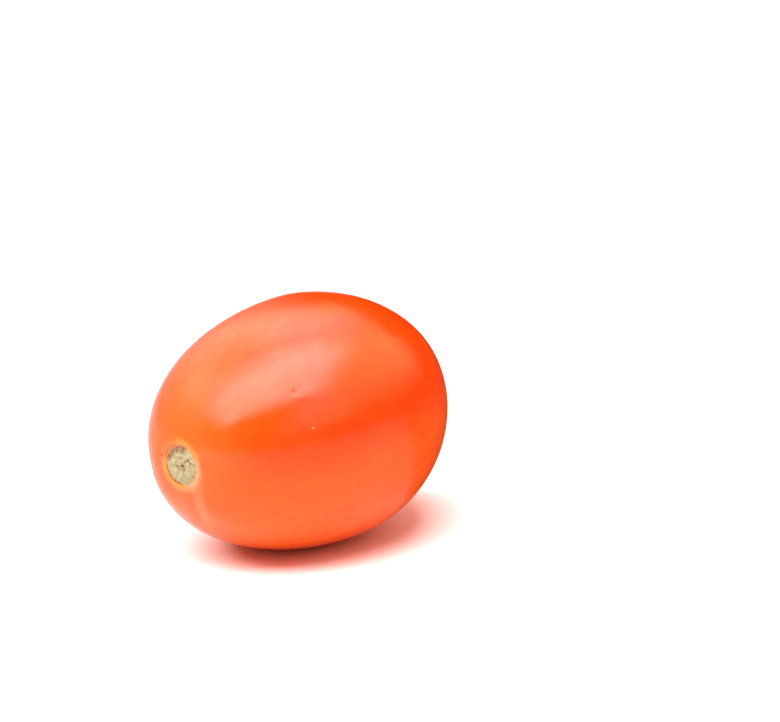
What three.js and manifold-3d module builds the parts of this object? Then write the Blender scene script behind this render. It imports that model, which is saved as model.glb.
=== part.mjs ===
// A plum tomato, one fruit as picked, lying on its side with its stalk and calyx gone.
//
// Millimetres, +Z up. The long axis runs along Y, the stem scar faces -Y, and the origin is the
// middle of the small flat spot that the fruit rests on. Nothing in it moves, and it grew as one
// piece, so it is one solid.

import * as THREE from 'three';
import { mergeVertices } from 'three/addons/utils/BufferGeometryUtils.js';
import Module from 'manifold-3d';

const wasm = await Module();
wasm.setup();

const DEGREE = Math.PI / 180;

// Driving dimensions. The two reaches run from the widest section to each end, before the dips
// there, and a bluntness of 2 is an ellipse, more is blunter and less is more pointed.
const GIRTH_RADIUS = 25;
const STEM_REACH = 37.7;
const BLOSSOM_REACH = 31;
const STEM_BLUNTNESS = 2.1;
const BLOSSOM_BLUNTNESS = 1.85;

// How the fruit lies: the stem end a little low, and the middle of its widest section at this
// place. What would reach below the surface is cut away, which leaves the flat spot.
const STEM_END_DROOP = 2.3 * DEGREE;
const GIRTH_CENTRE = new THREE.Vector3(0.6, 2.5, 24.2);

// Low waves round the girth, as a share of the radius, with the turn from +X towards +Z at which
// each one is highest.
const GIRTH_WAVES = [
  { count: 2, share: 0.0122, crest: 42 * DEGREE },
  { count: 3, share: 0.0082, crest: 88 * DEGREE },
  { count: 4, share: 0.011, crest: 45 * DEGREE },
];

// Soft furrows that start beside the stem scar, run over the shoulder and fade out before the
// girth.
const FURROWS = [
  { turn: 76 * DEGREE, depth: 0.45, spread: 15 * DEGREE },
  { turn: 196 * DEGREE, depth: 0.35, spread: 18 * DEGREE },
  { turn: 286 * DEGREE, depth: 0.4, spread: 13 * DEGREE },
];
const FURROW_START = 6;
const FURROW_MIDDLE = 34 * DEGREE;
const FURROW_LENGTH = 20 * DEGREE;

// The stem end: a wide shallow basin, and in it the corky disc where the stalk broke off, which
// stands a little proud inside a narrow crease.
const STEM_BASIN = { radius: 6.5, depth: 0.5 };
const SCAR_RADIUS = 3.9;
const SCAR_CREASE = { width: 0.55, depth: 0.4 };
const SCAR_DOME = 0.2;

// The blossom end: a small dimple with the dry point of the flower in it.
const BLOSSOM_DIMPLE = { radius: 2.4, depth: 0.55 };
const BLOSSOM_POINT = { radius: 0.8, height: 0.35 };

// Faces round the girth, rings from end to end, and how much closer the rings are at the ends.
const SIDES = 72;
const RINGS = 44;
const RING_CROWDING = 0.72;

const bell = (distance, width) => Math.exp(-((distance / width) ** 2));

// The angle from the stem end of each ring, from 0 to 180 degrees, closer together at both ends.
function ringAngle(ring) {
  const share = ring / RINGS;
  return Math.PI * share - (RING_CROWDING / 2) * Math.sin(2 * Math.PI * share);
}

// How far the surface dips in along the axis at each end, at a distance from the axis.
function stemDip(radius) {
  const basin = STEM_BASIN.depth * bell(radius, STEM_BASIN.radius);
  const crease = SCAR_CREASE.depth * bell(radius - SCAR_RADIUS, SCAR_CREASE.width);
  const dome = SCAR_DOME * Math.max(0, 1 - (radius / SCAR_RADIUS) ** 2);
  return basin + crease - dome;
}

function blossomDip(radius) {
  const dimple = BLOSSOM_DIMPLE.depth * bell(radius, BLOSSOM_DIMPLE.radius);
  const point = BLOSSOM_POINT.height * bell(radius, BLOSSOM_POINT.radius);
  return dimple - point;
}

// One point of the fruit's plain outline: its distance from the axis, and its place along Y.
function outlinePoint(angle) {
  const stemSide = angle < Math.PI / 2;
  const bluntness = stemSide ? STEM_BLUNTNESS : BLOSSOM_BLUNTNESS;
  const reach = stemSide ? STEM_REACH : BLOSSOM_REACH;
  const radius = GIRTH_RADIUS * Math.sin(angle) ** (2 / bluntness);
  const along = reach * Math.abs(Math.cos(angle)) ** (2 / bluntness);
  return stemSide
    ? new THREE.Vector2(radius, -along + stemDip(radius))
    : new THREE.Vector2(radius, along - blossomDip(radius));
}

function furrowDepth(turn, angle, radius) {
  let depth = 0;
  for (const furrow of FURROWS) {
    const away = Math.atan2(Math.sin(turn - furrow.turn), Math.cos(turn - furrow.turn));
    depth += furrow.depth * bell(away, furrow.spread);
  }
  const beside = 1 - bell(radius, FURROW_START);
  return depth * beside * bell(angle - FURROW_MIDDLE, FURROW_LENGTH);
}

// The waves and furrows move each point of the turned shape towards or away from the axis.
function shapeGirth(geometry) {
  const position = geometry.attributes.position;
  const point = new THREE.Vector3();
  for (let i = 0; i < position.count; i += 1) {
    point.fromBufferAttribute(position, i);
    const radius = Math.hypot(point.x, point.z);
    const turn = Math.atan2(point.z, point.x);
    const angle = Math.atan2(radius / GIRTH_RADIUS, -point.y / STEM_REACH);
    let share = 0;
    for (const wave of GIRTH_WAVES) {
      share += wave.share * Math.cos(wave.count * (turn - wave.crest));
    }
    share *= Math.min(1, radius / GIRTH_RADIUS);
    const shaped = radius * (1 + share) - furrowDepth(turn, angle, radius);
    position.setXYZ(i, Math.cos(turn) * shaped, point.y, Math.sin(turn) * shaped);
  }
}

// Geometry with only its places, and with the points that coincide made one.
function merged(geometry) {
  geometry.deleteAttribute('normal');
  geometry.deleteAttribute('uv');
  return mergeVertices(geometry);
}

// A closed solid, without the triangles that shrank to a line where the outline meets the axis.
function solidOf(geometry) {
  const corners = geometry.index.array;
  const kept = [];
  for (let i = 0; i < corners.length; i += 3) {
    const [a, b, c] = corners.slice(i, i + 3);
    if (a !== b && b !== c && c !== a) {
      kept.push(a, b, c);
    }
  }
  const vertProperties = new Float32Array(geometry.attributes.position.array);
  const triVerts = new Uint32Array(kept);
  return new wasm.Manifold(new wasm.Mesh({ numProp: 3, vertProperties, triVerts }));
}

function geometryOf(solid) {
  const mesh = solid.getMesh();
  const geometry = new THREE.BufferGeometry();
  geometry.setAttribute('position', new THREE.BufferAttribute(mesh.vertProperties, 3));
  geometry.setIndex(new THREE.BufferAttribute(mesh.triVerts, 1));
  geometry.computeVertexNormals();
  return geometry;
}

function fruit() {
  const outline = [];
  for (let ring = 0; ring <= RINGS; ring += 1) {
    outline.push(outlinePoint(ringAngle(ring)));
  }
  outline[0].x = 0;
  outline[RINGS].x = 0;
  const turned = merged(new THREE.LatheGeometry(outline, SIDES));
  shapeGirth(turned);
  turned.rotateX(STEM_END_DROOP);
  turned.translate(GIRTH_CENTRE.x, GIRTH_CENTRE.y, GIRTH_CENTRE.z);
  return solidOf(turned);
}

// Everything below the surface that the fruit rests on.
function groundBelow() {
  const side = 4 * GIRTH_RADIUS;
  const block = new THREE.BoxGeometry(side, side, side);
  block.translate(0, 0, -side / 2);
  return solidOf(merged(block));
}

const skin = new THREE.MeshStandardMaterial({ color: 0xe6400f, roughness: 0.32, metalness: 0 });
const tomato = new THREE.Mesh(geometryOf(fruit().subtract(groundBelow())), skin);
tomato.name = 'tomato';

const part = new THREE.Group();
part.add(tomato);

export default part;
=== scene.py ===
"""A plum tomato on its side, with its corky stem scar and dry blossom point, in soft studio light."""

import math

import bmesh
import bpy
from mathutils import Matrix, Vector, noise


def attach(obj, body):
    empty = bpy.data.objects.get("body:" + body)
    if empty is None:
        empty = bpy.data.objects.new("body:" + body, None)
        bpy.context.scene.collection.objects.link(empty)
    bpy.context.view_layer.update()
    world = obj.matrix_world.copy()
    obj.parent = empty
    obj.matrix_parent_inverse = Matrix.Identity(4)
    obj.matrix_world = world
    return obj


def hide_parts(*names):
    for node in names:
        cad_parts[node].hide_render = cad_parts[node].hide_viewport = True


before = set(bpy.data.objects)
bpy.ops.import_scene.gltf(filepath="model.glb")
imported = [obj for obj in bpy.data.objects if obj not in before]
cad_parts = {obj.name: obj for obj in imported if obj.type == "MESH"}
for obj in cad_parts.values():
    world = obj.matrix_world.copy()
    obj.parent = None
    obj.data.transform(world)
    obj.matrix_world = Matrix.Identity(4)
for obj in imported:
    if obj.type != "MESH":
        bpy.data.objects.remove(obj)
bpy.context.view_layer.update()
scene = bpy.context.scene

MM = 0.001

# The fruit's own frame has its middle at the widest section and its long axis along Y, with the
# stem scar at the -Y end. A turn goes round that axis from +X towards +Z. Sizes are in millimetres,
# and are those of the solid that it replaces, but the crease round the scar is finer.
GIRTH_RADIUS = 25.0
STEM_REACH = 37.7
BLOSSOM_REACH = 31.0
STEM_BLUNTNESS = 2.1
BLOSSOM_BLUNTNESS = 1.85
STEM_END_DROOP = math.radians(2.3)
GIRTH_CENTRE = Vector((0.6, 2.5, 24.2))

# Low waves round the girth: count, share of the radius, and the turn of a crest.
GIRTH_WAVES = (
    (2, 0.0122, math.radians(42)),
    (3, 0.0082, math.radians(88)),
    (4, 0.0110, math.radians(45)),
)

# Soft furrows over the shoulder: turn, depth and spread.
FURROWS = (
    (math.radians(76), 0.45, math.radians(15)),
    (math.radians(196), 0.35, math.radians(18)),
    (math.radians(286), 0.40, math.radians(13)),
)
FURROW_START = 6.0
FURROW_MIDDLE = math.radians(34)
FURROW_LENGTH = math.radians(20)

# Shallow folds beside the first furrow, along the same stretch: turn, depth and spread. The one
# with a depth below 0 stands proud.
FOLDS = (
    (math.radians(85), 0.09, math.radians(5)),
    (math.radians(105), -0.13, math.radians(9)),
    (math.radians(122), 0.05, math.radians(8)),
)

# The stem end: a wide basin, and in it the corky disc where the stalk broke off, with a crease and
# a low lip round it.
STEM_BASIN_RADIUS = 6.5
STEM_BASIN_DEPTH = 0.5
SCAR_RADIUS = 3.9
SCAR_CREASE_WIDTH = 0.32
SCAR_CREASE_DEPTH = 0.24
SCAR_DOME = 0.2
SCAR_LIP_RADIUS = 4.7
SCAR_LIP_WIDTH = 0.8
SCAR_LIP_HEIGHT = 0.12

# The disc's edge wobbles by a share of its radius. The wobble is a noise, read round a circle at
# this height in it and at this scale.
SCAR_WOBBLE = 0.030
SCAR_WOBBLE_HEIGHT = 4.0
SCAR_WOBBLE_SCALE = 1.7

# The cork's grain: its height and size, how much weaker and finer each layer of it is and how many
# layers there are, and how far inside the disc's edge it is full.
CORK_GRAIN = 0.12
CORK_GRAIN_SIZE = 0.75
CORK_GRAIN_LAYERS = (0.9, 2.1, 3)
CORK_EDGE = 0.5

# Pits in the cork, in the fruit's own X and Z: place, radius, depth and how dark they look.
CORK_PITS = (
    ((0.70, 0.00), 0.38, 0.30, 0.95),
    ((0.55, -0.10), 1.10, 0.08, 0.30),
    ((0.20, 1.60), 0.42, 0.14, 0.50),
    ((2.15, 1.30), 0.30, 0.16, 0.50),
    ((-1.70, 1.85), 0.45, 0.22, 0.80),
    ((-1.40, 3.00), 0.42, 0.20, 0.75),
    ((-2.60, 0.70), 0.40, 0.12, 0.35),
    ((1.15, -0.70), 0.34, 0.12, 0.45),
    ((-0.64, -0.20), 0.32, 0.10, 0.35),
    ((0.42, -3.00), 0.45, 0.08, 0.40),
    ((3.30, -2.00), 0.40, 0.06, 0.35),
)
# Cracks in the cork: from, to, half width, depth and how dark they look.
CORK_CRACKS = (
    ((0.70, 0.00), (2.10, 1.44), 0.15, 0.08, 0.40),
    ((2.10, 1.44), (2.60, 0.80), 0.20, 0.18, 0.65),
    ((0.70, 0.00), (1.30, -0.80), 0.14, 0.10, 0.45),
    ((0.70, 0.00), (-0.70, -0.20), 0.13, 0.08, 0.35),
)

# A soft ridge in the skin that runs from beside the scar down the lowest furrow, through these
# places in the fruit's own X and Z.
RIDGE_PATH = ((4.3, -1.4), (3.6, -5.0), (3.3, -9.8), (1.6, -15.3))
RIDGE_WIDTH = 1.0
RIDGE_HEIGHT = 0.17

# The blossom end: a small dimple with the dry point of the flower in it.
BLOSSOM_DIMPLE_RADIUS = 2.4
BLOSSOM_DIMPLE_DEPTH = 0.55
BLOSSOM_POINT_RADIUS = 0.8
BLOSSOM_POINT_HEIGHT = 0.35

# Slow swells in the skin: how far they stand out, and their size.
SWELL_HEIGHT = 0.10
SWELL_SIZE = 13.0

# A small pit in the skin, and the raised edge below it: place, radius and depth.
SKIN_PIT = Vector((15.95, -21.99, 13.69))
NICKS = (
    (SKIN_PIT, 0.38, 0.12),
    (Vector((17.0, -21.6, 12.6)), 0.55, -0.11),
)

# How softly the skin rounds into the flat spot that it rests on.
FLAT_SOFTNESS = 0.1

# Points round the girth, rings from end to end, and how much closer the rings are at the ends.
SIDES = 288
RINGS = 264
RING_CROWDING = 0.92


def bell(distance, width):
    return math.exp(-((distance / width) ** 2))


def smooth_step(low, high, value):
    share = min(1.0, max(0.0, (value - low) / (high - low)))
    return share * share * (3 - 2 * share)


def ring_angle(ring):
    share = ring / RINGS
    return math.pi * share - RING_CROWDING / 2 * math.sin(2 * math.pi * share)


def outline_point(angle):
    """Distance from the axis and place along it, before the dips at both ends."""
    stem_side = angle < math.pi / 2
    bluntness = STEM_BLUNTNESS if stem_side else BLOSSOM_BLUNTNESS
    reach = -STEM_REACH if stem_side else BLOSSOM_REACH
    radius = GIRTH_RADIUS * max(0.0, math.sin(angle)) ** (2 / bluntness)
    return radius, reach * abs(math.cos(angle)) ** (2 / bluntness)


def distance_to_line(point, start, end):
    along = end - start
    share = min(1.0, max(0.0, (point - start).dot(along) / along.length_squared))
    return (point - start - along * share).length


def cork_height(x, z):
    """The relief of the cork inside the scar's edge."""
    place = Vector((x, z))
    grain = noise.fractal(Vector((x, 0.0, z)) / CORK_GRAIN_SIZE, *CORK_GRAIN_LAYERS)
    height = CORK_GRAIN * grain
    for centre, radius, depth, _ in CORK_PITS:
        height -= depth * bell((place - Vector(centre)).length, radius)
    for start, end, width, depth, _ in CORK_CRACKS:
        height -= depth * bell(distance_to_line(place, Vector(start), Vector(end)), width)
    return height


def stem_dip(radius, turn):
    """How far the stem end dips in along the axis."""
    x = math.cos(turn) * radius
    z = math.sin(turn) * radius
    round_edge = Vector((math.cos(turn), math.sin(turn), SCAR_WOBBLE_HEIGHT))
    edge = SCAR_RADIUS * (1 + SCAR_WOBBLE * noise.noise(round_edge * SCAR_WOBBLE_SCALE))
    basin = STEM_BASIN_DEPTH * bell(radius, STEM_BASIN_RADIUS)
    crease = SCAR_CREASE_DEPTH * bell(radius - edge, SCAR_CREASE_WIDTH)
    dome = SCAR_DOME * max(0.0, 1 - (radius / edge) ** 2)
    lip = SCAR_LIP_HEIGHT * bell(radius - SCAR_LIP_RADIUS, SCAR_LIP_WIDTH)
    cork = 0.0
    if radius < edge:
        cork = cork_height(x, z) * smooth_step(edge, edge - CORK_EDGE, radius)
    return basin + crease - dome - lip - cork


def ridge_lift(x, z):
    """The soft ridge that runs down from the scar, fading out at its far end."""
    place = Vector((x, z))
    path = [Vector(point) for point in RIDGE_PATH]
    nearest = min(distance_to_line(place, start, end) for start, end in zip(path, path[1:]))
    fading = smooth_step(path[-1].length, path[-1].length / 2, place.length)
    return RIDGE_HEIGHT * bell(nearest, RIDGE_WIDTH) * fading


def blossom_dip(radius):
    dimple = BLOSSOM_DIMPLE_DEPTH * bell(radius, BLOSSOM_DIMPLE_RADIUS)
    return dimple - BLOSSOM_POINT_HEIGHT * bell(radius, BLOSSOM_POINT_RADIUS)


def furrow_depth(turn, angle, radius):
    depth = 0.0
    for middle, deepest, spread in FURROWS + FOLDS:
        away = math.remainder(turn - middle, 2 * math.pi)
        depth += deepest * bell(away, spread)
    beside = 1 - bell(radius, FURROW_START)
    return depth * beside * bell(angle - FURROW_MIDDLE, FURROW_LENGTH)


def fruit_point(angle, turn):
    """One point of the skin in the fruit's own frame, in millimetres."""
    radius, along = outline_point(angle)
    if angle < math.pi / 2:
        along += stem_dip(radius, turn)
    else:
        along -= blossom_dip(radius)
    share = sum(depth * math.cos(count * (turn - crest)) for count, depth, crest in GIRTH_WAVES)
    share *= min(1.0, radius / GIRTH_RADIUS)
    furrow_angle = math.atan2(radius / GIRTH_RADIUS, -along / STEM_REACH)
    shaped = radius * (1 + share) - furrow_depth(turn, furrow_angle, radius)
    point = Vector((math.cos(turn) * shaped, along, math.sin(turn) * shaped))
    # Within 1 mm of the axis the lift fades out.
    outward = Vector((point.x, 0.0, point.z)) / max(1.0, shaped)
    lift = SWELL_HEIGHT * noise.noise(point / SWELL_SIZE)
    if angle < math.pi / 2 and radius > SCAR_RADIUS:
        lift += ridge_lift(point.x, point.z)
    for centre, width, depth in NICKS:
        lift -= depth * bell((point - centre).length, width)
    return point + outward * lift


def resting_place(point):
    """From the fruit's own frame to the model's frame, in metres, with the flat spot pressed in."""
    placed = Matrix.Rotation(STEM_END_DROOP, 3, "X") @ point + GIRTH_CENTRE
    placed.z = (placed.z + math.hypot(placed.z, FLAT_SOFTNESS)) / 2
    return placed * MM


def make_fruit():
    """Rings of points from the stem end to the blossom end, closed by a fan at each end."""
    mesh = bpy.data.meshes.new("tomato_fruit")
    form = bmesh.new()
    stem_end = form.verts.new(resting_place(fruit_point(0.0, 0.0)))
    rings = []
    for ring in range(1, RINGS):
        angle = ring_angle(ring)
        turns = [2 * math.pi * side / SIDES for side in range(SIDES)]
        rings.append([form.verts.new(resting_place(fruit_point(angle, turn))) for turn in turns])
    blossom_end = form.verts.new(resting_place(fruit_point(math.pi, 0.0)))
    for side in range(SIDES):
        after = (side + 1) % SIDES
        form.faces.new((stem_end, rings[0][side], rings[0][after]))
        for lower, upper in zip(rings, rings[1:]):
            form.faces.new((lower[side], upper[side], upper[after], lower[after]))
        form.faces.new((rings[-1][side], blossom_end, rings[-1][after]))
    for face in form.faces:
        face.smooth = True
    bmesh.ops.recalc_face_normals(form, faces=form.faces)
    form.to_mesh(mesh)
    form.free()
    fruit = bpy.data.objects.new("tomato_fruit", mesh)
    scene.collection.objects.link(fruit)
    return fruit


class Nodes:
    """Adds nodes to a node tree and joins them, so that a material reads as a list of steps."""

    def __init__(self, tree):
        self.tree = tree
        tree.nodes.clear()

    def feed(self, socket, value):
        if isinstance(value, bpy.types.NodeSocket):
            self.tree.links.new(value, socket)
        else:
            socket.default_value = value

    def add(self, kind, inputs=None, **settings):
        node = self.tree.nodes.new(kind)
        for name, value in settings.items():
            setattr(node, name, value)
        for name, value in (inputs or {}).items():
            self.feed(node.inputs[name], value)
        return node

    def math(self, operation, *values):
        node = self.add("ShaderNodeMath", operation=operation)
        for socket, value in zip(node.inputs, values):
            self.feed(socket, value)
        return node.outputs["Value"]

    def times(self, product, *factors):
        for factor in factors:
            product = self.math("MULTIPLY", product, factor)
        return product

    def vector(self, operation, *values):
        node = self.add("ShaderNodeVectorMath", operation=operation)
        for socket, value in zip(node.inputs, values):
            self.feed(socket, value)
        number = operation in ("DOT_PRODUCT", "LENGTH", "DISTANCE")
        return node.outputs["Value" if number else "Vector"]

    def fade(self, value, start, end, low=0.0, high=1.0):
        """low where value is at start, high where it is at end, and smooth between them."""
        inputs = {"Value": value, "From Min": start, "From Max": end, "To Min": low, "To Max": high}
        node = self.add("ShaderNodeMapRange", inputs, interpolation_type="SMOOTHSTEP")
        return node.outputs["Result"]

    def band(self, value, outer_low, low, high, outer_high):
        """1 between the middle two edges, 0 beyond the outer two, and smooth between."""
        return self.times(self.fade(value, outer_low, low), self.fade(value, outer_high, high))

    def noise(self, vector, size, detail, roughness):
        """A cloud of numbers round 0.5, with lumps of about that size in the vector's units."""
        inputs = {"Vector": vector, "Scale": 1.0 / size, "Detail": detail, "Roughness": roughness}
        return self.add("ShaderNodeTexNoise", inputs).outputs["Fac"]

    def distance_to_line(self, place, start, end):
        """How far a place is from the stretch between two points."""
        along = end - start
        from_start = self.vector("SUBTRACT", place, start)
        share = self.vector("DOT_PRODUCT", from_start, along / along.length_squared)
        share = self.math("MINIMUM", self.math("MAXIMUM", share, 0.0), 1.0)
        return self.vector("DISTANCE", from_start, self.vector("MULTIPLY", share, along))

    def mix(self, share, first, second):
        """A mix of two colours. The node has sockets of the same names for other kinds of data."""
        node = self.add("ShaderNodeMix", data_type="RGBA")
        self.feed(node.inputs[0], share)
        self.feed(node.inputs[6], first)
        self.feed(node.inputs[7], second)
        return node.outputs[2]

    def join(self, share, first, second):
        """A mix of two shaders."""
        node = self.add("ShaderNodeMixShader", {"Fac": share})
        self.feed(node.inputs[1], first.outputs[0])
        self.feed(node.inputs[2], second.outputs[0])
        return node


# Skin and cork colours, as linear red, green and blue, and opacity.
RIPE_RED = (0.78, 0.050, 0.0010, 1.0)
RIPE_ORANGE = (0.80, 0.074, 0.0040, 1.0)
# More orange towards the underside: partly the skin's tone, partly painted light for the floor's
# bounce.
UNDERSIDE_ORANGE_AND_BOUNCE = (0.82, 0.122, 0.0070, 1.0)
FLANK_GOLD = (0.84, 0.108, 0.008, 1.0)
SHOULDER_ORANGE = (0.82, 0.106, 0.013, 1.0)
GOLD_SPECK = (0.80, 0.088, 0.008, 1.0)
HALO_YELLOW = (0.86, 0.235, 0.040, 1.0)
# Pale pink for the fleck, and for a painted glint on the scar's lip and on the ridge below it.
PINK_FLECK_AND_GLINT = (0.84, 0.29, 0.14, 1.0)
# The small pit's darker red is painted shade in it.
PIT_SHADE_RED = (0.50, 0.022, 0.0015, 1.0)
SPECK_BROWN = (0.11, 0.035, 0.012, 1.0)
CORK_PALE = (0.385, 0.392, 0.238, 1.0)
CORK_OLIVE = (0.264, 0.268, 0.136, 1.0)
CORK_OCHRE = (0.33, 0.265, 0.125, 1.0)
CORK_SHADE = (0.21, 0.15, 0.05, 1.0)
# The rim's brown and mauve are partly stain and partly painted shade under the lip.
CORK_BROWN = (0.14, 0.075, 0.038, 1.0)
CORK_MAUVE = (0.24, 0.155, 0.105, 1.0)
# A thin line in the crease at the scar's edge: partly brown, partly painted shade of the crease.
RIM_CREASE_SHADE = (0.20, 0.085, 0.03, 1.0)
BLOSSOM_BROWN = (0.12, 0.045, 0.016, 1.0)

# Tints on one side of the axis: the turn at the middle, and the cosines of the angles from there at
# which the tint has faded out and is full.
DARK_RIM_SIDE = (math.radians(118), 0.45, 0.74)
RIM_LINE_SIDE = (math.radians(214), 0.45, 0.70)
GOLD_SIDE = (math.radians(103), 0.80, 0.99)
LIP_SIDE = (math.radians(-20), 0.30, 0.85)
HALO_GAP_SIDE = (math.radians(136), 0.75, 0.95)

# Noises in the skin and cork: the size of the lumps, the detail and the roughness.
DRIFT_NOISE = (11.0, 3.0, 0.5)
STREAK_NOISE = (1.5, 3.0, 0.6)
MOTTLE_NOISE = (0.8, 3.0, 0.65)
SPECK_NOISE = (0.42, 2.0, 0.5)
EDGE_NOISE = (1.8, 2.0, 0.5)
SKIN_GRAIN_NOISE = (0.5, 2.0, 0.5)
WAX_NOISE = (3.5, 2.0, 0.5)
CORK_NOISE = (0.62, 4.0, 0.62)
CORK_PATCH_NOISE = (1.7, 2.0, 0.5)
CORK_STAIN_NOISE = (0.9, 2.0, 0.5)
CORK_GRAIN_NOISE = (0.32, 4.0, 0.65)
# The streaks and the mottle are stretched along the axis.
STREAK_STRETCH = (1.0, 0.16, 1.0)

# Each fade below goes from its first place to its second, and between the two numbers after them,
# or from 0 to 1. These are by the noises.
NOISE_SPREAD = (0.3, 0.7)
DRIFT = (0.3, 0.7, -0.30, 0.30)
STREAK = (0.3, 0.7, -0.20, 0.20)
GOLD_BY_STREAK = (-0.20, 0.10, 1.0, 0.65)
MOTTLE = (0.48, 0.72, 0.0, 0.45)
SPECKS = (0.45, 0.70, 0.0, 0.30)
EDGE_WANDER = (0.2, 0.8, -0.18, 0.18)
WAX = (0.3, 0.7, -0.04, 0.04)
CORK_PALENESS = (0.36, 0.60)
CORK_PATCHES = (0.48, 0.64, 0.0, 0.50)
CORK_STAINS = (0.36, 0.56, 0.0, 0.9)

# By place along the axis, and for the underside by height, with the slant that its edge has.
RIPENING = (-36.0, -14.0)
RIPENING_LOSS = (0.0, 20.0, 0.0, 0.5)
GOLD_ALONG = (2.0, -22.0, 0.0, 0.8)
STEM_SIDE = (-26.0, -32.0)
BLOSSOM_SIDE = (24.0, 28.0)
UNDERSIDE = (7.0, -3.0, 0.0, 0.8)
UNDERSIDE_SLANT = -0.1

# By distance from the axis. The rim line, painted shade in the crease that is partly brown, is a band
# between four such distances.
SHOULDER = (16.0, 6.0)
HALO = (6.0, 4.2)
# The lip's pale pink on its right side is partly pale skin and partly a painted glint.
LIP_GLINT = (5.6, 4.5, 0.0, 0.85)
# Where the painted highlight on the ridge fades out.
RIDGE_GLINT_END = (17.0, 10.0)
SCAR_EDGE = (SCAR_RADIUS + 0.16, SCAR_RADIUS - 0.18)
RIM_LINE_BAND = (SCAR_RADIUS - 0.4, SCAR_RADIUS - 0.2, SCAR_RADIUS, SCAR_RADIUS + 0.2)
# The dark rim on the upper left, partly stain and partly painted shade under the lip.
DARK_RIM_STAIN_AND_SHADE = (2.3, 3.1, 0.0, 0.92)
BLOSSOM_RING = (2.6, 1.0, 0.0, 0.7)
DRY_POINT = (0.95, 0.6)
# How weak the halo is where the lip or the gap is full.
HALO_BY_GAP = (0.0, 1.0, 1.0, 0.35)

# By distance from the ridge's line, for its painted highlight, and from the middle of the small pit,
# for its painted shade.
RIDGE_GLINT = (1.9, 0.4, 0.0, 0.28)
PIT_SHADE = (0.55, 0.20, 0.0, 0.85)

# By distance from a pit or crack in the cork, as shares of its radius or half width, and how far
# the cork's grain makes the dark rim, the pits and the cracks uneven.
CORK_PIT_FADE = (1.5, 0.4)
CORK_CRACK_FADE = (2.0, 0.5)
RIM_UNEVENNESS = 0.40
PIT_UNEVENNESS = 0.2
CRACK_UNEVENNESS = 0.1

# Small marks on the skin, a dry brown speck beside the scar and a pale fleck: place, radius and
# colour. Each is full within a share of its radius.
SKIN_MARKS = (
    ((-5.0, -36.74, 1.02), 0.52, SPECK_BROWN),
    ((19.82, -21.26, 7.12), 0.32, PINK_FLECK_AND_GLINT),
)
MARK_CORE = 0.4

# Fine relief, and what the skin and the cork are like to light.
STREAK_RELIEF = 0.035
SKIN_GRAIN_RELIEF = 0.006
PIT_RELIEF = 0.10
CORK_RELIEF = 0.11
SKIN_ROUGHNESS = 0.21
CORK_ROUGHNESS = 0.8
SKIN_IOR = 1.3
SUBSURFACE_WEIGHT = 0.25
SUBSURFACE_RADIUS = (1.0, 0.25, 0.1)
SUBSURFACE_SCALE = 0.003


def facing_share(nodes, heading, turn, faded, full):
    """1 on the side of the axis that a turn names, falling to 0 away from it."""
    direction = (math.cos(turn), 0.0, math.sin(turn))
    return nodes.fade(nodes.vector("DOT_PRODUCT", heading, direction), faded, full)


def uneven(nodes, distance, grain, most):
    """A distance that a noise makes longer and shorter."""
    return nodes.math("ADD", distance, nodes.fade(grain, *NOISE_SPREAD, -most, most))


def ripe_colour(nodes, own, along, height, heading):
    """Orange at the stem end and below, reddest in the middle, in drifts, streaks and specks; the
    orange below is partly painted light bounced up from the floor.
    """
    ripening = nodes.fade(along, *RIPENING)
    ripening = nodes.math("SUBTRACT", ripening, nodes.fade(along, *RIPENING_LOSS))
    drift = nodes.fade(nodes.noise(own, *DRIFT_NOISE), *DRIFT)
    lengthwise = nodes.vector("MULTIPLY", own, STREAK_STRETCH)
    streak = nodes.fade(nodes.noise(lengthwise, *STREAK_NOISE), *STREAK)
    ripening = nodes.math("ADD", ripening, nodes.math("ADD", drift, streak))
    colour = nodes.mix(ripening, RIPE_ORANGE, RIPE_RED)

    # Painted light, in part: the underside is made more orange where the floor's bounce lights it.
    lowness = nodes.math("MULTIPLY_ADD", along, UNDERSIDE_SLANT, height)
    colour = nodes.mix(nodes.fade(lowness, *UNDERSIDE), colour, UNDERSIDE_ORANGE_AND_BOUNCE)

    gold = nodes.times(
        nodes.fade(along, *GOLD_ALONG),
        facing_share(nodes, heading, *GOLD_SIDE),
        nodes.fade(streak, *GOLD_BY_STREAK),
    )
    colour = nodes.mix(gold, colour, FLANK_GOLD)

    mottle = nodes.fade(nodes.noise(lengthwise, *MOTTLE_NOISE), *MOTTLE)
    colour = nodes.mix(mottle, colour, RIPE_RED)
    specks = nodes.fade(nodes.noise(own, *SPECK_NOISE), *SPECKS)
    return nodes.mix(specks, colour, GOLD_SPECK), streak


def round_scar_colour(nodes, colour, edge, radius, heading, stem_side):
    """The paler shoulder, the yellow halo and the pink lip round the scar, which is partly pale skin
    and partly a painted glint.
    """
    shoulder = nodes.times(nodes.fade(radius, *SHOULDER), stem_side)
    colour = nodes.mix(shoulder, colour, SHOULDER_ORANGE)

    lip_side = facing_share(nodes, heading, *LIP_SIDE)
    gap_side = facing_share(nodes, heading, *HALO_GAP_SIDE)
    weaker = nodes.fade(nodes.math("MAXIMUM", lip_side, gap_side), *HALO_BY_GAP)
    halo = nodes.times(nodes.fade(edge, *HALO), stem_side, weaker)
    colour = nodes.mix(halo, colour, HALO_YELLOW)

    # Painted glint, in part: the lip's right side is tinted pale pink.
    lip = nodes.times(nodes.fade(edge, *LIP_GLINT), lip_side, stem_side)
    return nodes.mix(lip, colour, PINK_FLECK_AND_GLINT)


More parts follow.
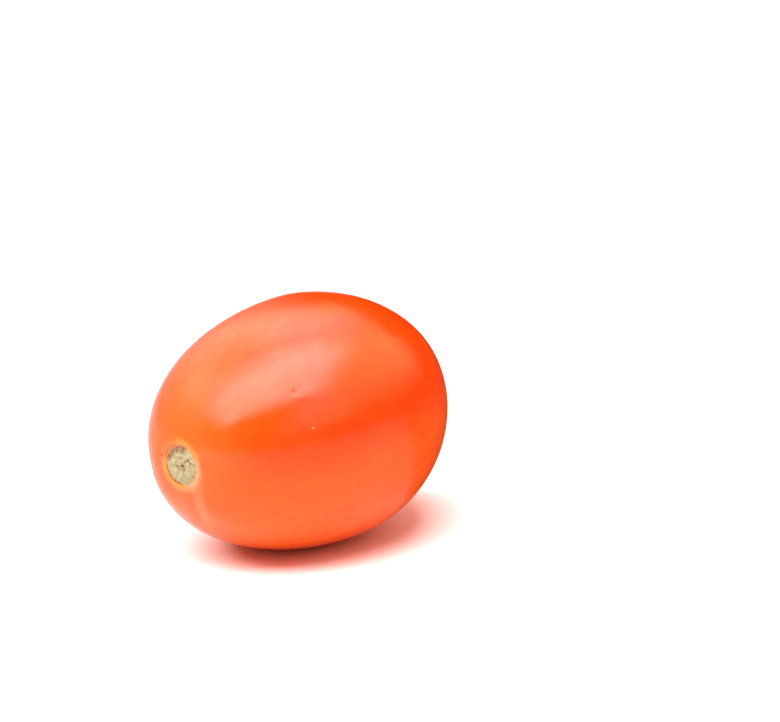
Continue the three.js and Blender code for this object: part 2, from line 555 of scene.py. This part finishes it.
def ridge_glint_colour(nodes, colour, across, radius, stem_side):
    """A painted highlight: a pale line along the soft ridge below the scar."""
    points = [Vector((x, 0.0, z)) for x, z in RIDGE_PATH]
    gaps = [nodes.distance_to_line(across, *pair) for pair in zip(points, points[1:])]
    gap = nodes.math("MINIMUM", nodes.math("MINIMUM", gaps[0], gaps[1]), gaps[2])
    ridge = nodes.times(nodes.fade(gap, *RIDGE_GLINT), stem_side, nodes.fade(radius, *RIDGE_GLINT_END))
    return nodes.mix(ridge, colour, PINK_FLECK_AND_GLINT)


def darkened(nodes, cork, gap, size, fading, shade):
    """The cork with a pit or crack of that size shaded in, by the distance from it."""
    start, end = fading
    return nodes.mix(nodes.fade(gap, size * start, size * end, 0.0, shade), cork, CORK_SHADE)


def cork_colour(nodes, own, across, radius, heading):
    """Pale and olive grain, darker in the cracks and hollows, with a brown and mauve rim on one side
    that is partly stain and partly painted shade under the lip.
    """
    grain = nodes.noise(own, *CORK_NOISE)
    cork = nodes.mix(nodes.fade(grain, *CORK_PALENESS), CORK_OLIVE, CORK_PALE)
    patches = nodes.fade(nodes.noise(own, *CORK_PATCH_NOISE), *CORK_PATCHES)
    cork = nodes.mix(patches, cork, CORK_OCHRE)

    # Partly painted shade: the rim is darker on the side under the lip.
    rim = nodes.times(
        nodes.fade(uneven(nodes, radius, grain, RIM_UNEVENNESS), *DARK_RIM_STAIN_AND_SHADE),
        facing_share(nodes, heading, *DARK_RIM_SIDE),
    )
    cork = nodes.mix(rim, cork, CORK_MAUVE)
    stains = nodes.fade(nodes.noise(own, *CORK_STAIN_NOISE), *CORK_STAINS)
    cork = nodes.mix(nodes.times(rim, stains), cork, CORK_BROWN)

    for (x, z), size, _, shade in CORK_PITS:
        gap = nodes.vector("DISTANCE", across, (x, 0.0, z))
        gap = uneven(nodes, gap, grain, PIT_UNEVENNESS)
        cork = darkened(nodes, cork, gap, size, CORK_PIT_FADE, shade)
    for (start_x, start_z), (end_x, end_z), width, _, shade in CORK_CRACKS:
        start = Vector((start_x, 0.0, start_z))
        gap = nodes.distance_to_line(across, start, Vector((end_x, 0.0, end_z)))
        gap = uneven(nodes, gap, grain, CRACK_UNEVENNESS)
        cork = darkened(nodes, cork, gap, width, CORK_CRACK_FADE, shade)
    return cork


def fine_relief(nodes, own, streak, pit, dry):
    """Bump for the skin's streaks, grain and pit, and for the cork's grain where it is dry."""
    skin = nodes.times(nodes.noise(own, *SKIN_GRAIN_NOISE), SKIN_GRAIN_RELIEF)
    skin = nodes.math("MULTIPLY_ADD", streak, STREAK_RELIEF, skin)
    skin = nodes.math("MULTIPLY_ADD", pit, -PIT_RELIEF, skin)
    cork = nodes.times(nodes.noise(own, *CORK_GRAIN_NOISE), CORK_RELIEF, dry)
    relief = nodes.math("MULTIPLY_ADD", skin, nodes.math("SUBTRACT", 1.0, dry), cork)
    bump = nodes.add("ShaderNodeBump", {"Height": relief, "Distance": MM, "Strength": 1.0})
    return bump.outputs["Normal"]


def skin_material():
    """Skin and cork in one material, drawn in the fruit's own frame."""
    material = bpy.data.materials.new("tomato_skin")
    material.use_nodes = True
    nodes = Nodes(material.node_tree)
    placed = nodes.add("ShaderNodeTexCoord").outputs["Object"]
    own = nodes.add(
        "ShaderNodeMapping",
        {
            "Vector": placed,
            "Location": GIRTH_CENTRE * MM,
            "Rotation": (STEM_END_DROOP, 0.0, 0.0),
            "Scale": (MM, MM, MM),
        },
        vector_type="TEXTURE",
    ).outputs["Vector"]
    split = nodes.add("ShaderNodeSeparateXYZ", {"Vector": own})
    along, height = split.outputs["Y"], split.outputs["Z"]
    across = nodes.vector("MULTIPLY", own, (1.0, 0.0, 1.0))
    radius = nodes.vector("LENGTH", across)
    heading = nodes.vector("NORMALIZE", across)
    edge = nodes.math("ADD", radius, nodes.fade(nodes.noise(own, *EDGE_NOISE), *EDGE_WANDER))
    stem_side = nodes.fade(along, *STEM_SIDE)
    blossom_side = nodes.fade(along, *BLOSSOM_SIDE)

    colour, streak = ripe_colour(nodes, own, along, height, heading)
    colour = round_scar_colour(nodes, colour, edge, radius, heading, stem_side)
    colour = ridge_glint_colour(nodes, colour, across, radius, stem_side)

    # Painted shade: the small pit is darkened in colour as well as bumped in.
    pit = nodes.fade(nodes.vector("DISTANCE", own, SKIN_PIT), *PIT_SHADE)
    colour = nodes.mix(pit, colour, PIT_SHADE_RED)
    for place, size, tint in SKIN_MARKS:
        mark = nodes.fade(nodes.vector("DISTANCE", own, place), size, size * MARK_CORE)
        colour = nodes.mix(mark, colour, tint)

    scar = nodes.times(nodes.fade(edge, *SCAR_EDGE), stem_side)
    colour = nodes.mix(scar, colour, cork_colour(nodes, own, across, radius, heading))
    # Painted shade, in part: a thin dark line in the crease on the lower left.
    line_side = facing_share(nodes, heading, *RIM_LINE_SIDE)
    line = nodes.times(nodes.band(edge, *RIM_LINE_BAND), line_side, stem_side)
    colour = nodes.mix(line, colour, RIM_CREASE_SHADE)

    ring = nodes.times(nodes.fade(edge, *BLOSSOM_RING), blossom_side)
    colour = nodes.mix(ring, colour, HALO_YELLOW)
    dry_point = nodes.times(nodes.fade(edge, *DRY_POINT), blossom_side)
    colour = nodes.mix(dry_point, colour, BLOSSOM_BROWN)

    dry = nodes.math("MAXIMUM", scar, dry_point)
    wax = nodes.fade(nodes.noise(own, *WAX_NOISE), *WAX)
    roughness = nodes.fade(dry, 0.0, 1.0, SKIN_ROUGHNESS, CORK_ROUGHNESS)
    shader = nodes.add(
        "ShaderNodeBsdfPrincipled",
        {
            "Base Color": colour,
            "Roughness": nodes.math("ADD", roughness, wax),
            "Normal": fine_relief(nodes, own, streak, pit, dry),
            "IOR": SKIN_IOR,
            "Subsurface Weight": SUBSURFACE_WEIGHT,
            "Subsurface Radius": SUBSURFACE_RADIUS,
            "Subsurface Scale": SUBSURFACE_SCALE,
        },
    )
    nodes.add("ShaderNodeOutputMaterial", {"Surface": shader.outputs["BSDF"]})
    return material


# The photograph's viewpoint: the direction to the camera, how far back it stands from the widest
# section, and how far the picture's middle lies right of and above that section.
VIEW_AZIMUTH = math.radians(40.9)
VIEW_ELEVATION = math.radians(15.0)
VIEW_DISTANCE = 673.1
VIEW_RIGHT = 15.375
VIEW_UP = 11.087
LENS = 157.8


def level_axes():
    """Level directions to the camera's right and from the fruit towards the camera."""
    right = Vector((math.cos(VIEW_AZIMUTH), math.sin(VIEW_AZIMUTH), 0.0))
    return right, Vector((right.y, -right.x, 0.0))


def view_axes():
    """The camera's right, up and back directions."""
    right, front = level_axes()
    back = front * math.cos(VIEW_ELEVATION) + Vector((0.0, 0.0, math.sin(VIEW_ELEVATION)))
    return right, back.cross(right), back


def make_camera():
    right, up, back = view_axes()
    camera = bpy.data.objects.new("camera", bpy.data.cameras.new("camera"))
    camera.data.lens = LENS
    away = right * VIEW_RIGHT + up * VIEW_UP + back * VIEW_DISTANCE
    turned = Matrix((right, up, back)).transposed().to_4x4()
    camera.matrix_world = Matrix.Translation((GIRTH_CENTRE + away) * MM) @ turned
    scene.collection.objects.link(camera)
    scene.camera = camera


# The room that the gloss mirrors. A direction has parts to the camera's right, towards the camera
# and up, and each fade is by one of them. The softbox hangs overhead. Its edges are given per unit
# of height, with how much three of them slant, and no height counts as less than SOFTBOX_LOWEST.
SOFTBOX_LEFT = (-1.60, -0.50)
SOFTBOX_RIGHT = (1.10, 0.38)
SOFTBOX_RIGHT_SLANT = -0.45
SOFTBOX_BACK = (-0.42, 0.20)
SOFTBOX_BACK_SLANT = 0.35
SOFTBOX_FRONT = (1.42, 0.84)
SOFTBOX_FRONT_SLANT = 0.50
SOFTBOX_GLOW = 16.5
SOFTBOX_LOWEST = 0.05

# A dome that is brighter higher up, and from lower down on the left than on the right. On the right
# it counts as lower at the back, and it fades out in front.
DOME_LEFTNESS = (0.0, -0.35)
LEFT_DOME = (0.1, 0.9, 0.7, 4.0)
RIGHT_DOME = (0.22, 0.95, 0.0, 4.6)
DOME_BACK_START = 0.5
DOME_BACK_DROP = 0.8
DOME_FRONT = (0.0, 0.75, 1.0, 0.03)

# Smaller lights: a panel high at the back, one on the right, a glow in front on the right, and a
# round window high on the left, which fades by the distance from its direction.
BACK_PANEL_BAND = (-0.35, -0.10, 0.10, 0.40)
BACK_PANEL_FRONT = (-0.12, -0.45)
BACK_PANEL_HEIGHT = (0.40, 0.80, 0.0, 2.6)
SIDE_PANEL_RIGHT = (0.45, 0.80)
SIDE_PANEL_FRONT = (-0.80, -0.52)
SIDE_PANEL_HEIGHT = (0.05, 0.42, 0.0, 3.0)
GLOW_RIGHT = (0.28, 0.55)
GLOW_FRONT = (0.20, 0.45)
GLOW_HEIGHT = (0.06, 0.32, 0.0, 1.7)
WINDOW = (-0.70, -0.20, 0.69)
WINDOW_GLOW = (0.32, 0.08, 0.0, 2.8)

# The room is amber on the right, with a slanted edge, and at the back on the right.
ROOM_WHITE = (1.0, 0.98, 0.97, 1.0)
ROOM_AMBER = (1.0, 0.97, 0.46, 1.0)
AMBER_RIGHT = (0.45, 0.80)
AMBER_SLANT = -0.4
AMBER_BACK = (-0.55, -0.80)
AMBER_BACK_RIGHT = (-0.05, 0.12)

# The soft fill on the fruit and the floor, redder from low down, and the white behind them.
FILL_STRENGTH = (-0.2, 0.8, 0.76, 0.68)
FILL_HEIGHT = (0.10, 0.70)
FILL_LOW = (1.0, 0.24, 0.14, 1.0)
FILL_ABOVE = (1.0, 0.58, 0.50, 1.0)
BACKGROUND_LIGHT = 1.6
WHITE = (1.0, 1.0, 1.0, 1.0)


def softbox_glow(nodes, rightward, frontal, height):
    above = nodes.math("MAXIMUM", height, SOFTBOX_LOWEST)
    left_edge = nodes.math("DIVIDE", rightward, above)
    glow = nodes.fade(left_edge, *SOFTBOX_LEFT, 0.0, SOFTBOX_GLOW)
    for main, other, slant, edge in (
        (rightward, frontal, SOFTBOX_RIGHT_SLANT, SOFTBOX_RIGHT),
        (frontal, rightward, SOFTBOX_BACK_SLANT, SOFTBOX_BACK),
        (frontal, rightward, SOFTBOX_FRONT_SLANT, SOFTBOX_FRONT),
    ):
        slanted = nodes.math("DIVIDE", nodes.math("MULTIPLY_ADD", other, slant, main), above)
        glow = nodes.times(glow, nodes.fade(slanted, *edge))
    return glow


def dome_glow(nodes, rightward, frontal, height):
    leftness = nodes.fade(rightward, *DOME_LEFTNESS)
    left_dome = nodes.times(nodes.fade(height, *LEFT_DOME), leftness)
    beyond = nodes.math("MINIMUM", nodes.math("ADD", frontal, DOME_BACK_START), 0.0)
    lowered = nodes.math("MULTIPLY_ADD", beyond, DOME_BACK_DROP, height)
    rightness = nodes.math("SUBTRACT", 1.0, leftness)
    dome = nodes.math("MULTIPLY_ADD", nodes.fade(lowered, *RIGHT_DOME), rightness, left_dome)
    return nodes.times(dome, nodes.fade(frontal, *DOME_FRONT))


def smaller_glows(nodes, towards, rightward, frontal, height):
    """The two panels, the glow in front on the right and the window."""
    right, front = level_axes()
    window = right * WINDOW[0] + front * WINDOW[1] + Vector((0.0, 0.0, WINDOW[2]))
    return (
        nodes.times(
            nodes.band(rightward, *BACK_PANEL_BAND),
            nodes.fade(frontal, *BACK_PANEL_FRONT),
            nodes.fade(height, *BACK_PANEL_HEIGHT),
        ),
        nodes.times(
            nodes.fade(rightward, *SIDE_PANEL_RIGHT),
            nodes.fade(frontal, *SIDE_PANEL_FRONT),
            nodes.fade(height, *SIDE_PANEL_HEIGHT),
        ),
        nodes.times(
            nodes.fade(rightward, *GLOW_RIGHT),
            nodes.fade(frontal, *GLOW_FRONT),
            nodes.fade(height, *GLOW_HEIGHT),
        ),
        nodes.fade(nodes.vector("DISTANCE", towards, window), *WINDOW_GLOW),
    )


def room_tint(nodes, rightward, frontal):
    slanted = nodes.math("MULTIPLY_ADD", frontal, AMBER_SLANT, rightward)
    amber = nodes.fade(slanted, *AMBER_RIGHT)
    at_back = nodes.times(
        nodes.fade(frontal, *AMBER_BACK),
        nodes.fade(rightward, *AMBER_BACK_RIGHT),
    )
    return nodes.mix(nodes.math("MAXIMUM", amber, at_back), ROOM_WHITE, ROOM_AMBER)


def make_room():
    """Gloss sees the room, diffuse light is the soft fill, and the camera sees plain white."""
    world = bpy.data.worlds.new("studio")
    scene.world = world
    world.use_nodes = True
    # The room isn't sampled as a lamp, because each kind of ray sees a different one.
    world.cycles.sampling_method = "NONE"
    nodes = Nodes(world.node_tree)
    towards = nodes.add("ShaderNodeTexCoord").outputs["Generated"]
    height = nodes.add("ShaderNodeSeparateXYZ", {"Vector": towards}).outputs["Z"]
    right, front = level_axes()
    rightward = nodes.vector("DOT_PRODUCT", towards, right)
    frontal = nodes.vector("DOT_PRODUCT", towards, front)

    strength = softbox_glow(nodes, rightward, frontal, height)
    dome = dome_glow(nodes, rightward, frontal, height)
    for glow in (dome, *smaller_glows(nodes, towards, rightward, frontal, height)):
        strength = nodes.math("ADD", strength, glow)
    tint = room_tint(nodes, rightward, frontal)
    mirrored = nodes.add("ShaderNodeBackground", {"Color": tint, "Strength": strength})

    fill_strength = nodes.fade(frontal, *FILL_STRENGTH)
    fill_colour = nodes.mix(nodes.fade(height, *FILL_HEIGHT), FILL_LOW, FILL_ABOVE)
    fill = nodes.add("ShaderNodeBackground", {"Color": fill_colour, "Strength": fill_strength})
    behind = nodes.add("ShaderNodeBackground", {"Color": WHITE, "Strength": BACKGROUND_LIGHT})
    path = nodes.add("ShaderNodeLightPath")
    light = nodes.join(path.outputs["Is Glossy Ray"], fill, mirrored)
    light = nodes.join(path.outputs["Is Camera Ray"], light, behind)
    nodes.add("ShaderNodeOutputWorld", {"Surface": light.outputs[0]})


# The lamp that gives the main diffuse light and the shadow, and that gloss doesn't see: its edges
# to the camera's right and towards the camera per metre of height, its height and its power.
LAMP_RIGHT = (-1.48, 0.32)
LAMP_FRONT = (-0.03, 0.82)
LAMP_HEIGHT = 1.5
LAMP_POWER = 80.0


def make_softbox_light():
    """A level rectangle overhead, with two of its sides along the camera's right."""
    lamp = bpy.data.lights.new("softbox", "AREA")
    lamp.shape = "RECTANGLE"
    lamp.size = (LAMP_RIGHT[1] - LAMP_RIGHT[0]) * LAMP_HEIGHT
    lamp.size_y = (LAMP_FRONT[1] - LAMP_FRONT[0]) * LAMP_HEIGHT
    lamp.energy = LAMP_POWER
    softbox = bpy.data.objects.new("softbox", lamp)
    right, front = level_axes()
    place = right * sum(LAMP_RIGHT) / 2 + front * sum(LAMP_FRONT) / 2 + Vector((0.0, 0.0, 1.0))
    softbox.location = place * LAMP_HEIGHT
    softbox.rotation_euler = (0.0, 0.0, VIEW_AZIMUTH)
    softbox.visible_glossy = False
    softbox.visible_camera = False
    scene.collection.objects.link(softbox)


# The floor, in metres from the flat spot. It is brighter for the camera, and in the gloss on the
# left, than where it only lights the fruit.
FLOOR_HALF = 4.0
FLOOR_PALE = (0.86, 0.86, 0.86, 1.0)
FLOOR_BRIGHT = (1.10, 1.10, 1.10, 1.0)
BRIGHT_LEFT = (0.06, 0.0)

# The gloss mirrors a floor that is dimmer beside the fruit, but not in front, and dark behind it on
# the right. Each shade is a fade by the distance to the side and one towards the camera.
FLOOR_SHADE = (0.03, 0.03, 0.03, 1.0)
BESIDE_OUT = (0.015, 0.045, 0.0, 0.48)
BESIDE_FRONT = (0.022, 0.006)
CORNER_RIGHT = (0.012, 0.032)
CORNER_FRONT = (0.004, -0.008)


def floor_material():
    material = bpy.data.materials.new("floor")
    material.use_nodes = True
    nodes = Nodes(material.node_tree)
    place = nodes.add("ShaderNodeTexCoord").outputs["Object"]
    right, front = level_axes()
    rightward = nodes.vector("DOT_PRODUCT", place, right)
    frontal = nodes.vector("DOT_PRODUCT", place, front)
    path = nodes.add("ShaderNodeLightPath")

    bright = nodes.times(path.outputs["Is Glossy Ray"], nodes.fade(rightward, *BRIGHT_LEFT))
    bright = nodes.math("MAXIMUM", bright, path.outputs["Is Camera Ray"])
    colour = nodes.mix(bright, FLOOR_PALE, FLOOR_BRIGHT)

    aside = nodes.math("ABSOLUTE", rightward)
    beside = nodes.times(nodes.fade(aside, *BESIDE_OUT), nodes.fade(frontal, *BESIDE_FRONT))
    corner = nodes.times(
        nodes.fade(rightward, *CORNER_RIGHT),
        nodes.fade(frontal, *CORNER_FRONT),
    )
    shade = nodes.times(nodes.math("MAXIMUM", beside, corner), path.outputs["Is Glossy Ray"])
    colour = nodes.mix(shade, colour, FLOOR_SHADE)

    shader = nodes.add("ShaderNodeBsdfDiffuse", {"Color": colour})
    nodes.add("ShaderNodeOutputMaterial", {"Surface": shader.outputs["BSDF"]})
    return material


def make_floor():
    mesh = bpy.data.meshes.new("floor")
    form = bmesh.new()
    corners = ((-1, -1), (1, -1), (1, 1), (-1, 1))
    form.faces.new([form.verts.new((x * FLOOR_HALF, y * FLOOR_HALF, 0.0)) for x, y in corners])
    form.to_mesh(mesh)
    form.free()
    floor = bpy.data.objects.new("floor", mesh)
    floor.data.materials.append(floor_material())
    scene.collection.objects.link(floor)


make_camera()
make_room()
make_softbox_light()
make_floor()

fruit = make_fruit()
fruit.data.materials.append(skin_material())
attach(fruit, "root")
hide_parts("tomato")

scene.view_settings.view_transform = "Standard"
